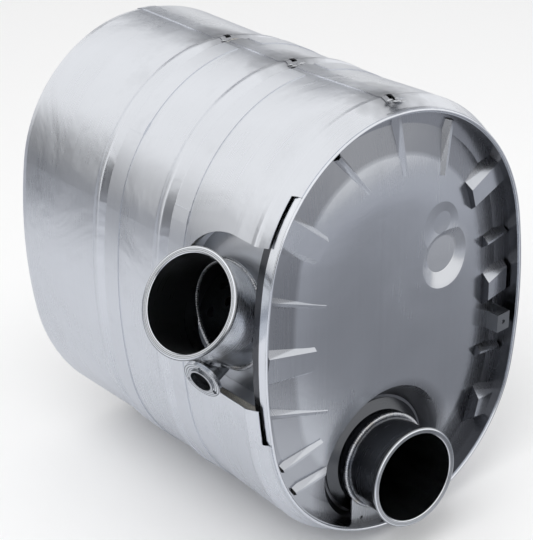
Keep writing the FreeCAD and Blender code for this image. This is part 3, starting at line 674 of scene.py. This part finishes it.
def brick_material(color, cell):
    """Honeycomb ceramic: square cells in the end faces, drawn as a grid of holes in painted shade."""
    material, tree, shader, coordinates = new_material("honeycomb_brick")
    axes = split_axes(tree, coordinates)
    walls = []
    for axis in ("X", "Z"):
        scaled = math_node(tree, "DIVIDE", axes[axis], cell)
        part = math_node(tree, "FRACT", scaled)
        middle = math_node(tree, "ABSOLUTE", math_node(tree, "SUBTRACT", part, 0.5))
        walls.append(ramp(tree, middle, 0.38, 0.42))
    wall = math_node(tree, "MAXIMUM", walls[0], walls[1])
    dark = tuple(0.12 * part for part in color)
    tree.links.new(mix_color(tree, wall, dark, color), shader.inputs["Base Color"])
    shader.inputs["Roughness"].default_value = 0.85
    add_bump(tree, shader, wall, 0.0008, 0.6)
    return material


def parts_of(material):
    """A material's tree, its Principled shader and its Object coordinates."""
    tree = material.node_tree
    return tree, tree.nodes["Principled BSDF"], texture_outputs(tree)["Object"]


def give(nodes, material):
    """Puts one material on CAD nodes that stay as they are."""
    for name in nodes:
        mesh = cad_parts[name].data
        mesh.materials.clear()
        mesh.materials.append(material)


def section_arcs():
    """Centre x, centre z, radius, first and last angle of the body section's six arcs."""
    reach = SIDE_RADIUS - HALF_WIDTH
    high = HALF_HEIGHT + SIDE_SHIFT
    low = HALF_HEIGHT - SIDE_SHIFT
    large = (SIDE_RADIUS**2 - (reach - CROWN_SHIFT) ** 2 - high**2) / (2 * (SIDE_RADIUS - high))
    small = (SIDE_RADIUS**2 - (reach + CROWN_SHIFT) ** 2 - low**2) / (2 * (SIDE_RADIUS - low))
    large_turn = math.atan2(high - large, reach - CROWN_SHIFT)
    small_turn = math.atan2(low - small, reach + CROWN_SHIFT)
    half = [
        (-reach, -SIDE_SHIFT, SIDE_RADIUS, -small_turn, large_turn),
        (-CROWN_SHIFT, HALF_HEIGHT - large, large, large_turn, math.pi / 2),
        (-CROWN_SHIFT, HALF_HEIGHT - small, small, math.pi / 2, math.pi - small_turn),
    ]
    turned = [
        (-cx, -cz, radius, first + math.pi, last + math.pi)
        for cx, cz, radius, first, last in half
    ]
    return np.array(half + turned)


def skin_point(angle, level, station):
    """A point of the skin from its direction in degrees on the section's arc, level and station."""
    turn = math.radians(angle)
    for cx, cz, radius, first, last in section_arcs():
        if first <= turn < last:
            x = cx + (radius + level) * math.cos(turn)
            z = cz + (radius + level) * math.sin(turn)
            return np.array([x, FRONT_Y + station, z])
    raise ValueError("no arc holds this direction")


def section_level(x, z):
    """How far outside the body's base section points lie.

    It is their reach from the centre of the arc that faces them, less that arc's radius.
    """
    level = np.full(np.shape(x), -1.0)
    for cx, cz, radius, first, last in section_arcs():
        angle = np.arctan2(z - cz, x - cx)
        turn = np.mod(angle - first, 2 * np.pi)
        inside = turn <= last - first
        level = np.where(inside, np.hypot(x - cx, z - cz) - radius, level)
    return level


def unit(vector):
    """A vector of length one."""
    return np.asarray(vector, float) / np.linalg.norm(vector)


def tilted(angle, lean):
    """A unit vector at an angle in the section plane, leaning to the front, both in degrees."""
    turn, slope = math.radians(angle), math.radians(lean)
    flat = math.cos(slope)
    return np.array([math.cos(turn) * flat, -math.sin(slope), math.sin(turn) * flat])


# Each pipe's root and axis, as in the part's source
INLET_ROOT = np.array([-0.222, FRONT_Y + 0.090, 0.070])
INLET_AXIS = tilted(147.5, 6.0)
OUTLET_CENTRE = np.array([-0.009, FRONT_Y + 0.024, -0.207])
OUTLET_AXIS = unit([math.tan(math.radians(-4.8)), -1.0, math.tan(math.radians(5.2))])
DOSER_ROOT = np.array([-0.2134, FRONT_Y + 0.0963, 0.0076])
DOSER_AXIS = tilted(200.0, 9.0)


def across_axis(axis):
    """Two unit vectors square to an axis and to each other."""
    side = unit(np.cross(axis, (0.0, 1.0, 0.0) if abs(axis[1]) < 0.9 else (0.0, 0.0, 1.0)))
    return side, np.cross(axis, side)


def closed_tube(name, path, radii, sides=14):
    """A closed ring-shaped tube: a circle carried along a closed path, square to it.

    Point (i, j) is path i plus radius i times the circle's direction j in the plane square to
    the path.
    """
    forward = np.roll(path, -1, 0) - np.roll(path, 1, 0)
    forward /= np.linalg.norm(forward, axis=1)[:, None]
    middle = path.mean(0)
    outward = path - middle
    outward -= (outward * forward).sum(1)[:, None] * forward
    outward /= np.linalg.norm(outward, axis=1)[:, None]
    upward = np.cross(forward, outward)
    turn = np.linspace(0, 2 * np.pi, sides, endpoint=False)
    ring = outward[:, None] * np.cos(turn)[None, :, None]
    ring = ring + upward[:, None] * np.sin(turn)[None, :, None]
    points = path[:, None] + ring * radii[:, None, None]
    rows, cols = points.shape[:2]
    index = np.arange(rows * cols).reshape(rows, cols)
    after = np.roll(index, -1, 0)
    corners = [index, np.roll(index, -1, 1), np.roll(after, -1, 1), after]
    faces = np.stack(corners, -1).reshape(-1, 4).tolist()
    return mesh_object(name, points.reshape(-1, 3), faces)


def mesh_object(name, points, faces):
    """A smooth-shaded mesh object at the origin from an array of points and a list of faces."""
    mesh = bpy.data.meshes.new(name)
    mesh.from_pydata(points.tolist(), [], faces)
    mesh.polygons.foreach_set("use_smooth", [True] * len(mesh.polygons))
    mesh.update()
    obj = bpy.data.objects.new(name, mesh)
    bpy.context.scene.collection.objects.link(obj)
    return obj


def ripple_radii(path, settings, seed):
    """Bead radius along a path: slowly uneven, with a scalloped ripple, abs(sin)."""
    steps = np.linalg.norm(np.roll(path, -1, 0) - path, axis=1)
    along = np.concatenate([[0], np.cumsum(steps)[:-1]])
    count = max(1, round(steps.sum() / settings.ripple_pitch))
    wave = np.abs(np.sin(np.pi * count * along / steps.sum()))
    rng = np.random.default_rng(seed)
    coarse = rng.uniform(0.82, 1.12, 24)
    slow = np.interp(along / steps.sum() * 24, np.arange(25), np.append(coarse, coarse[0]))
    return settings.bead_radius * slow * (1 - settings.ripple_depth + settings.ripple_depth * wave)


def weld_blob(name, place, outward, size, seed):
    """A closed crumpled lump of weld metal: an ellipsoid whose radius is uneven.

    Point (u, v) is place + r(u, v) (a cos u cos v, b sin u cos v, c sin v) on the skin's two
    directions and its normal, with r = 1 + the sum of six waves of random phase.
    """
    along = np.array([0.0, 1.0, 0.0])
    side = unit(np.cross(outward, along))
    u = np.linspace(0, 2 * np.pi, BLOB_TURNS, endpoint=False)[:, None]
    v = np.linspace(-1.45, 1.45, BLOB_RISES)[None, :]
    rng = np.random.default_rng(seed)
    r = np.ones((BLOB_TURNS, BLOB_RISES))
    for wave in range(1, 7):
        turned = np.sin(wave * u + rng.uniform(0, 6.3))
        risen = np.cos(wave * v + rng.uniform(0, 6.3))
        r += 0.22 / wave**0.5 * turned * risen
    across = size[0] * np.cos(u) * np.cos(v) * r
    length = size[1] * np.sin(u) * np.cos(v) * r
    height = size[2] * np.sin(v) * (0.6 + 0.4 * r)
    points = place + sum(
        part[..., None] * axis
        for part, axis in ((across, side), (length, along), (height, outward))
    )
    index = np.arange(BLOB_TURNS * BLOB_RISES).reshape(BLOB_TURNS, BLOB_RISES)
    after = np.roll(index, -1, 0)
    corners = [index[:, :-1], after[:, :-1], after[:, 1:], index[:, 1:]]
    faces = np.stack(corners, -1).reshape(-1, 4).tolist()
    faces += [index[::-1, 0].tolist(), index[:, -1].tolist()]
    return mesh_object(name, points.reshape(-1, 3), faces)


def inlet_weld_path(count):
    """Where the inlet pipe's outside meets the inner shell.

    On each line of the pipe's cylinder the way along it is halved between two ends until the
    shell's level is met.
    """
    turn = np.linspace(0, 2 * np.pi, count, endpoint=False)
    side, up = across_axis(INLET_AXIS)
    lines = INLET_ROOT + PIPE_RADIUS * (np.cos(turn)[:, None] * side + np.sin(turn)[:, None] * up)
    low, high = np.full(count, -0.08), np.full(count, 0.08)
    for _ in range(40):
        middle = (low + high) / 2
        points = lines + middle[:, None] * INLET_AXIS
        outside = section_level(points[:, 0], points[:, 2]) > SHELL_LEVEL
        high = np.where(outside, middle, high)
        low = np.where(outside, low, middle)
    return lines + low[:, None] * INLET_AXIS


class MUFFLER_OT_skin(bpy.types.Operator):
    """Polished sheet finish on the three skins, the joint bands and the rims"""

    bl_idname = "muffler.skin"
    bl_label = "Outer skin"

    def execute(self, context):
        steel = context.scene.muffler_steel
        color, gloss = tuple(steel.skin_color), steel.skin_roughness
        bright = tuple(min(1.0, 1.1 * part) for part in color)
        skin = sheet_material("skin_sheet", color, gloss, SKIN_GRAIN, 0.0034, 0.15)
        band = sheet_material("band_sheet", color, gloss + 0.03, BAND_GRAIN, 0.0014, 0.15)
        rim = sheet_material("rim_sheet", bright, 0.16, EVEN_GRAIN, 0.0004, 0.3)
        tree, shader, coordinates = parts_of(skin)
        ports = [skin_point(PORT_ANGLE, level, station) for level, station in PORTS]
        mask = stain_mask(tree, coordinates, ports, 0.012, 0.060)
        add_stain_and_painted_light(tree, shader, math_node(tree, "MULTIPLY", mask, 0.75), PORT_STAIN, 0.12)
        give(SKINS, skin)
        give(BANDS, band)
        give(RIMS, rim)
        return {"FINISHED"}


class MUFFLER_OT_end_caps(bpy.types.Operator):
    """Pressed sheet finish on the two end caps"""

    bl_idname = "muffler.end_caps"
    bl_label = "End caps"

    def execute(self, context):
        steel = context.scene.muffler_steel
        rear, cap = (
            sheet_material(
                name, tuple(steel.cap_color), steel.cap_roughness, CAP_GRAIN, 0.0012, 0.12
            )
            for name in ("rear_cap_sheet", "cap_sheet")
        )
        give(("rear_end_cap",), rear)
        tree, shader, coordinates = parts_of(cap)
        axes = split_axes(tree, coordinates)
        dish = reach_from(tree, coordinates, DISH_CENTRE)
        # Painted shade and dark reflection darken the sheet about the outlet's well
        well = placed_group(
            tree, bore_group(), coordinates, Centre=tuple(OUTLET_CENTRE), Axis=tuple(OUTLET_AXIS)
        )
        heat_and_shade = ramp(tree, well["Reach"], 0.098, 0.124, 0.86, 0.0)
        add_stain_and_painted_light(tree, shader, heat_and_shade, WELL_PAINTED_SHADE, 0.06)
        # Painted shade in the recessed margin, weaker at the lower left where a painted highlight
        # falls, and none in the dish
        deep = FRONT_Y + MARGIN_DEPTH
        margin_shade = ramp(tree, axes["Y"], deep, deep + 0.0016, 0.0, 0.62)
        margin_shade = math_node(tree, "MULTIPLY", margin_shade, ramp(tree, dish, 0.054, 0.060))
        # The painted shade thins towards the lower left: a painted highlight on that side
        highlight_side = math_node(tree, "ADD", math_node(tree, "MULTIPLY", axes["X"], 0.8), axes["Z"])
        margin_shade = math_node(tree, "MULTIPLY", margin_shade, ramp(tree, highlight_side, -0.36, -0.10, 0.15, 1.0))
        add_stain_and_painted_light(tree, shader, margin_shade, MARGIN_PAINTED_SHADE, 0.05)
        # Painted shade on the standing wall, whose normal has little Y; it is darkest there
        facing = split_axes(tree, texture_outputs(tree)["Normal"])["Y"]
        wall = ramp(tree, math_node(tree, "ABSOLUTE", facing), 0.12, 0.3, 0.9, 0.0)
        add_stain_and_painted_light(tree, shader, wall, WALL_PAINTED_SHADE, 0.0)
        # Painted highlight: the dish is brighter, most on its floor
        wide = ramp(tree, dish, 0.040, 0.050, 0.35, 0.0)
        floor = ramp(tree, dish, DISH_FLOOR_REACH, DISH_FLOOR_REACH + 0.0015, 0.9, 0.0)
        add_stain_and_painted_light(tree, shader, math_node(tree, "MAXIMUM", wide, floor), DISH_PAINTED_HIGHLIGHT, 0.0)
        give(("front_end_cap",), cap)
        return {"FINISHED"}


class MUFFLER_OT_pipes(bpy.types.Operator):
    """Drawn tube finish on the pipes and the outlet's neck ring, turned finish on the flanges"""

    bl_idname = "muffler.pipes"
    bl_label = "Pipes and flanges"

    def execute(self, context):
        steel = context.scene.muffler_steel
        color, bore_tone, dark, bright = (
            tuple(value)
            for value in (steel.pipe_color, steel.bore_color, steel.dark_color, steel.flange_color)
        )
        ends = (
            ("inlet", INLET_ROOT, INLET_AXIS),
            ("outlet", OUTLET_CENTRE, OUTLET_AXIS),
            ("doser", DOSER_ROOT, DOSER_AXIS),
        )
        glossy = tuple(min(1.0, 2.4 * part) for part in bore_tone)
        for name, centre, axis in ends:
            centre, axis = tuple(centre), tuple(axis)
            heat_and_shade = name == "outlet"
            outside, inside, dulling = (dark, glossy, -0.06) if heat_and_shade else (color, bore_tone, 0.08)
            tube = pipe_material(name + "_tube", outside, inside, centre, axis, dulling)
            give((name + "_pipe",), tube)
            give((name + "_flange",), turned_material(name + "_turned", bright, centre, axis))
        centre = tuple(OUTLET_CENTRE)
        tube = pipe_material("outlet_inner_tube", bore_tone, bore_tone, centre, (0.0, 1.0, 0.0))
        give(("outlet_tube", "mixing_tube"), tube)
        neck = tuple(0.42 * part for part in dark)
        collar = pipe_material("outlet_neck", neck, neck, centre, tuple(OUTLET_AXIS))
        give(("outlet_collar",), collar)
        return {"FINISHED"}


class MUFFLER_OT_welds(bpy.types.Operator):
    """Rippled beads round the inlet and outlet pipes, weld metal on the doser's bead and the ports"""

    bl_idname = "muffler.welds"
    bl_label = "Weld beads"

    def execute(self, context):
        settings = context.scene.muffler_weld
        material = weld_material(tuple(context.scene.muffler_steel.weld_color))
        inlet_path = inlet_weld_path(BEAD_STEPS)
        turn = np.linspace(0, 2 * np.pi, BEAD_STEPS, endpoint=False)
        side, up = across_axis(OUTLET_AXIS)
        ring = np.cos(turn)[:, None] * side + np.sin(turn)[:, None] * up
        outlet_path = OUTLET_CENTRE + OUTLET_BEAD_RISE * OUTLET_AXIS + OUTLET_BEAD_RADIUS * ring
        for end, path in (("inlet", inlet_path), ("outlet", outlet_path)):
            bead = closed_tube(end + "_bead", path, ripple_radii(path, settings, 5))
            bead.data.materials.append(material)
            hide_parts(end + "_weld")
            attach(bead, "root")
        give(("doser_weld",), material)
        for number, (level, station) in enumerate(PORTS):
            for part, (turn, rise, shift, size) in enumerate(PORT_BLOBS):
                angle = PORT_ANGLE + turn
                place = skin_point(angle, level + rise, station + shift)
                outward = unit(place - skin_point(angle, level - 0.05, station + shift))
                name = f"port_weld_{number}_{part}"
                blob = weld_blob(name, place, outward, size, 11 * number + part)
                blob.data.materials.append(material)
                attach(blob, "root")
        return {"FINISHED"}


class MUFFLER_OT_small_fittings(bpy.types.Operator):
    """Sheet finish on the bracket and the outlet's tab, turned steel on the nut"""

    bl_idname = "muffler.small_fittings"
    bl_label = "Small fittings"

    def execute(self, context):
        steel = context.scene.muffler_steel
        color = tuple(steel.flange_color)
        dull = tuple(0.5 * part for part in color)
        tab = sheet_material("tab_sheet", color, 0.28, FITTING_GRAIN, 0.0004, 0.3)
        bracket = sheet_material("bracket_sheet", dull, 0.36, FITTING_GRAIN, 0.0004, 0.3)
        nut = turned_material("nut_steel", color, NUT_CENTRE, (0.0, 1.0, 0.0))
        give(("outlet_gusset",), tab)
        give(("side_bracket",), bracket)
        give(("bracket_nut",), nut)
        return {"FINISHED"}


class MUFFLER_OT_inner_pieces(bpy.types.Operator):
    """Finishes of the pieces inside: plain sheet, fibre and honeycomb ceramic"""

    bl_idname = "muffler.inner_pieces"
    bl_label = "Inner pieces"

    def execute(self, context):
        steel = context.scene.muffler_steel
        fibre = context.scene.muffler_fibre
        color = tuple(steel.inner_color)
        # Lit and shaded copies of one sheet: the pieces seen through the window are painted 1.75
        # times brighter than the hidden inner sheets
        seen_lit_tone = tuple(1.75 * part for part in color)
        give(INNER, sheet_material("inner_sheet", color, 0.34, INNER_GRAIN, 0.0008, 0.6))
        give(SEEN_INNER, sheet_material("window_sheet", seen_lit_tone, 0.30, INNER_GRAIN, 0.0010, 0.2))
        give(FIBRES, fibre_material(tuple(fibre.fibre_color)))
        give(BRICKS, brick_material(tuple(fibre.brick_color), fibre.cell_size))
        return {"FINISHED"}


def stage_plane(name, centre, right, up, width, height, material):
    """A flat four-sided stage piece from its centre, its two directions and its size."""
    centre, right, up = (np.asarray(value, float) for value in (centre, right, up))
    corners = [
        centre + right * (width / 2 * across) + up * (height / 2 * rise)
        for across, rise in ((-1, -1), (1, -1), (1, 1), (-1, 1))
    ]
    obj = mesh_object(name, np.array(corners), [[0, 1, 2, 3]])
    obj.data.materials.append(material)
    return obj


def grey_card(name, centre, right, up, width, height, material):
    """A grey card that only mirror-like surfaces see, as a studio flag shapes reflections."""
    card = stage_plane(name, centre, right, up, width, height, material)
    card.visible_camera = False
    card.visible_diffuse = False
    card.visible_shadow = False
    card.visible_transmission = False
    return card


def place_cards(settings, floor_z):
    """The grey cards: one graded card on the floor, and upright cards at the side, left and top."""
    east, north, up = (1, 0, 0), (0, 1, 0), (0, 0, 1)
    spread, tree, shader, coordinates = matt_material("stage_floor_card", settings.card_color)
    far = ramp(tree, reach_from(tree, coordinates, (-0.62, 0.14, floor_z)), 0.84, 1.06)
    away = ramp(tree, reach_from(tree, coordinates, (0.25, -0.55, floor_z)), 0.25, 1.10)
    middle = tuple(1.9 * part for part in settings.card_color)
    graded = mix_color(tree, away, tuple(settings.card_color), middle)
    blend = mix_color(tree, far, tuple(settings.near_color), graded)
    tree.links.new(blend, shader.inputs["Base Color"])
    grey_card("floor_card", (0, 0, floor_z + 0.002), east, north, 7.0, 7.0, spread)

    faded, tree, shader, coordinates = matt_material("stage_faded_card", settings.dark_color, 0.5)
    axes = split_axes(tree, coordinates)
    fade = ramp(tree, axes["Y"], 0.25, 1.15, 0.0, 0.85)
    low = ramp(tree, axes["Z"], 0.75, 0.30)
    tree.links.new(math_node(tree, "MULTIPLY", fade, low), shader.inputs["Alpha"])
    grey_card("side_card", (-1.0, 1.6, floor_z + 0.60), north, up, 3.0, 1.2, faded)

    dark = matt_material("stage_dark_card", settings.dark_color)[0]
    grey = matt_material("stage_card", settings.card_color)[0]
    grey_card("left_card", (-2.2, -1.1, floor_z + 0.55), (0.35, -0.94, 0), up, 2.0, 1.1, dark)
    grey_card("top_card", (1.7, 1.9, 1.15), (0.74, -0.67, 0), up, 2.6, 0.9, grey)


def white_world(strength):
    """Even light, seen as full white by the camera and by mirrored or clear rays."""
    world = bpy.data.worlds.new("white_room")
    world.use_nodes = True
    tree = world.node_tree
    tree.nodes.clear()
    room, seen = (add(tree, "ShaderNodeBackground") for _ in range(2))
    for background, value in ((room, strength), (seen, 1.0)):
        background.inputs["Color"].default_value = WHITE
        background.inputs["Strength"].default_value = value
    path = add(tree, "ShaderNodeLightPath").outputs
    factor = math_node(tree, "MAXIMUM", path["Is Camera Ray"], path["Is Glossy Ray"])
    factor = math_node(tree, "MAXIMUM", factor, path["Is Transmission Ray"])
    mix = add(tree, "ShaderNodeMixShader")
    tree.links.new(factor, mix.inputs[0])
    tree.links.new(room.outputs[0], mix.inputs[1])
    tree.links.new(seen.outputs[0], mix.inputs[2])
    tree.links.new(mix.outputs[0], add(tree, "ShaderNodeOutputWorld").inputs[0])
    return world


class MUFFLER_OT_stage(bpy.types.Operator):
    """Pale floor, white surroundings, soft lamps, grey cards and the camera"""

    bl_idname = "muffler.stage"
    bl_label = "Stage"

    def execute(self, context):
        scene = context.scene
        settings = scene.muffler_stage
        floor_z = CAD_BOX[0].z - FLOOR_GAP
        floor = matt_material("stage_floor", settings.floor_color)[0]
        stage_plane("floor", (0, 0, floor_z), (1, 0, 0), (0, 1, 0), 40.0, 40.0, floor)
        place_cards(settings, floor_z)
        scene.world = white_world(settings.room_strength)

        lamps = (
            ("key", (-1.4, -0.6, 2.2), settings.key_power, 1.8),
            ("fill", (1.8, -1.6, 1.4), settings.key_power * 0.3, 1.6),
        )
        for name, place, power, size in lamps:
            data = bpy.data.lights.new(name, "AREA")
            data.energy = power
            data.size = size
            lamp = bpy.data.objects.new(name, data)
            lamp.location = place
            lamp.rotation_mode = "QUATERNION"
            lamp.rotation_quaternion = (-Vector(place)).to_track_quat("-Z", "Y")
            lamp.visible_glossy = False
            scene.collection.objects.link(lamp)

        data = bpy.data.cameras.new("camera")
        data.lens = settings.focal_length
        data.sensor_width = 36.0
        camera = bpy.data.objects.new("camera", data)
        camera.location = CAMERA_PLACE
        turn, rise = math.radians(CAMERA_TURN), math.radians(CAMERA_RISE)
        flat = math.cos(rise)
        back = Vector((math.sin(turn) * flat, -math.cos(turn) * flat, math.sin(rise)))
        camera.rotation_mode = "QUATERNION"
        camera.rotation_quaternion = (-back).to_track_quat("-Z", "Y")
        scene.collection.objects.link(camera)
        scene.camera = camera
        scene.view_settings.view_transform = "Standard"
        return {"FINISHED"}


class MUFFLER_PT_panel(bpy.types.Panel):
    """The sidebar panel with each step and its settings"""

    bl_idname = "MUFFLER_PT_panel"
    bl_label = "Muffler"
    bl_space_type = "VIEW_3D"
    bl_region_type = "UI"
    bl_category = "Muffler"

    def draw(self, context):
        for group in ("muffler_steel", "muffler_weld", "muffler_fibre", "muffler_stage"):
            settings = getattr(context.scene, group)
            for name in type(settings).__annotations__:
                self.layout.prop(settings, name)
        for step in STEPS:
            self.layout.operator(step.bl_idname)


SETTINGS = (
    ("muffler_steel", SteelSettings),
    ("muffler_weld", WeldSettings),
    ("muffler_fibre", FibreSettings),
    ("muffler_stage", StageSettings),
)
STEPS = (
    MUFFLER_OT_skin,
    MUFFLER_OT_end_caps,
    MUFFLER_OT_pipes,
    MUFFLER_OT_welds,
    MUFFLER_OT_small_fittings,
    MUFFLER_OT_inner_pieces,
    MUFFLER_OT_stage,
)


def register():
    for name, group in SETTINGS:
        bpy.utils.register_class(group)
        setattr(bpy.types.Scene, name, bpy.props.PointerProperty(type=group))
    for step in STEPS + (MUFFLER_PT_panel,):
        bpy.utils.register_class(step)


def unregister():
    for step in reversed(STEPS + (MUFFLER_PT_panel,)):
        bpy.utils.unregister_class(step)
    for name, group in reversed(SETTINGS):
        delattr(bpy.types.Scene, name)
        bpy.utils.unregister_class(group)


def main():
    """Dresses the muffler step by step."""
    register()
    bpy.ops.muffler.skin()
    bpy.ops.muffler.end_caps()
    bpy.ops.muffler.pipes()
    bpy.ops.muffler.welds()
    bpy.ops.muffler.small_fittings()
    bpy.ops.muffler.inner_pieces()
    bpy.ops.muffler.stage()


if __name__ == "__main__":
    main()
